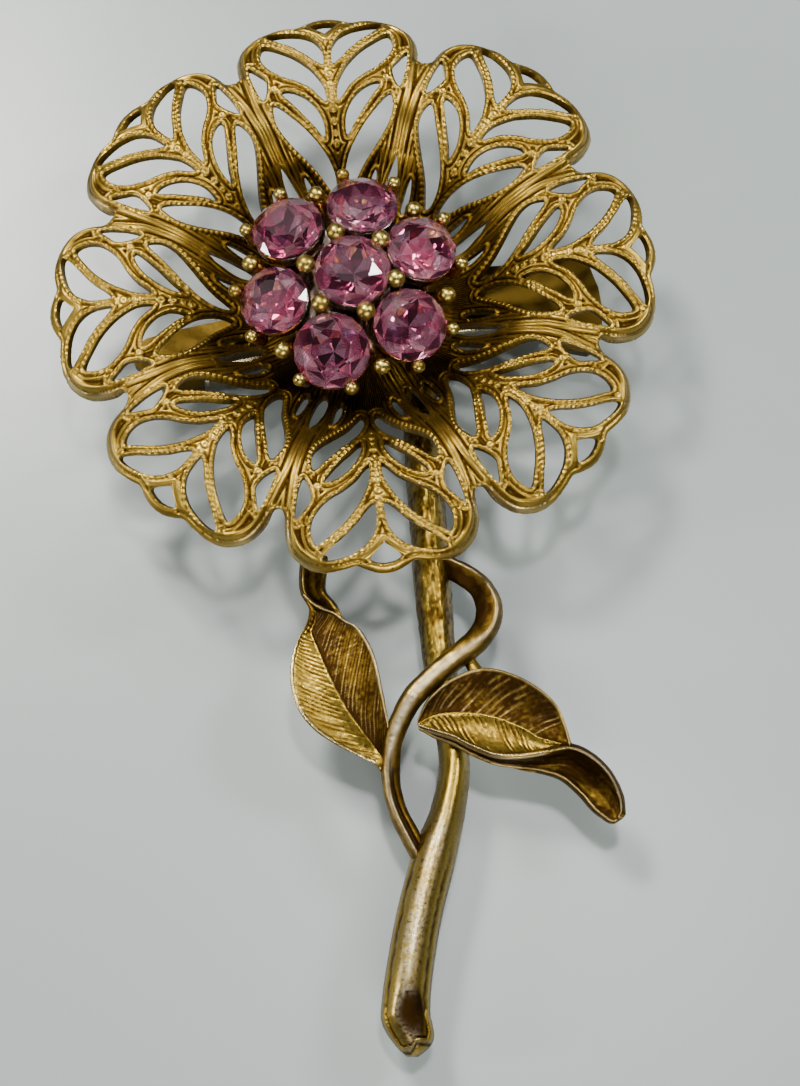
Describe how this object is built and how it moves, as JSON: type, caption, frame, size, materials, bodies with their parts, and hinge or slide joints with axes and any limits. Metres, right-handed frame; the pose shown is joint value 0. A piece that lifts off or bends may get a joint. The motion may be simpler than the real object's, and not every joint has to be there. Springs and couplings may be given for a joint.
{
  "type": "flower brooch",
  "caption": "Openwork flower brooch with pierced heart-shaped petals, a pronged stone cluster, a stem with a wrapped tendril and leaves, and a hinged pin with a roll-over catch on the back.",
  "frame": {"origin": "centre of the bounding box in plan, at the lowest point of the back hardware", "axes": "+Z out of the flower's face, +Y from the stem end towards the flower, +X to the wearer's left"},
  "size_m": [0.0512, 0.0894, 0.0157],
  "materials": {
    "antique_gold": "antiqued gold plate, dark in the recesses, worn pale on the rims",
    "pale_gold": "bright pale gold plate",
    "pink_glass": "faceted and foiled glass",
    "pin_steel": "gold-washed steel wire"
  },
  "bodies": {
    "brooch": {"filigree_flower": "antique_gold", "prong_setting": "pale_gold", "stone_centre": "pink_glass", "stone_ring_1": "pink_glass", "stone_ring_2": "pink_glass", "stone_ring_3": "pink_glass", "stone_ring_4": "pink_glass", "stone_ring_5": "pink_glass", "stone_ring_6": "pink_glass", "centre_rivet": "pale_gold", "stem": "antique_gold", "stem_rivet": "pale_gold", "tendril": "antique_gold", "leaf_left": "antique_gold", "leaf_right": "antique_gold", "back_bar": "antique_gold", "hinge_bracket": "pale_gold", "hinge_rivet": "pin_steel", "catch_body": "pale_gold"},
    "pin": {"pin_stem": "pin_steel"},
    "catch_lock": {"catch_roller": "pale_gold"}
  },
  "joints": [
    {"name": "pin_hinge", "type": "hinge", "parent": "brooch", "child": "pin", "pos_m": [0.01652, 0.02013, 0.00193], "axis": [0.1478, -0.989, 0], "range_deg": [0, 100]},
    {"name": "catch_turn", "type": "hinge", "parent": "brooch", "child": "catch_lock", "pos_m": [-0.01543, 0.01536, 0.00193], "axis": [-0.989, -0.1478, 0], "range_deg": [0, 110]}
  ]
}
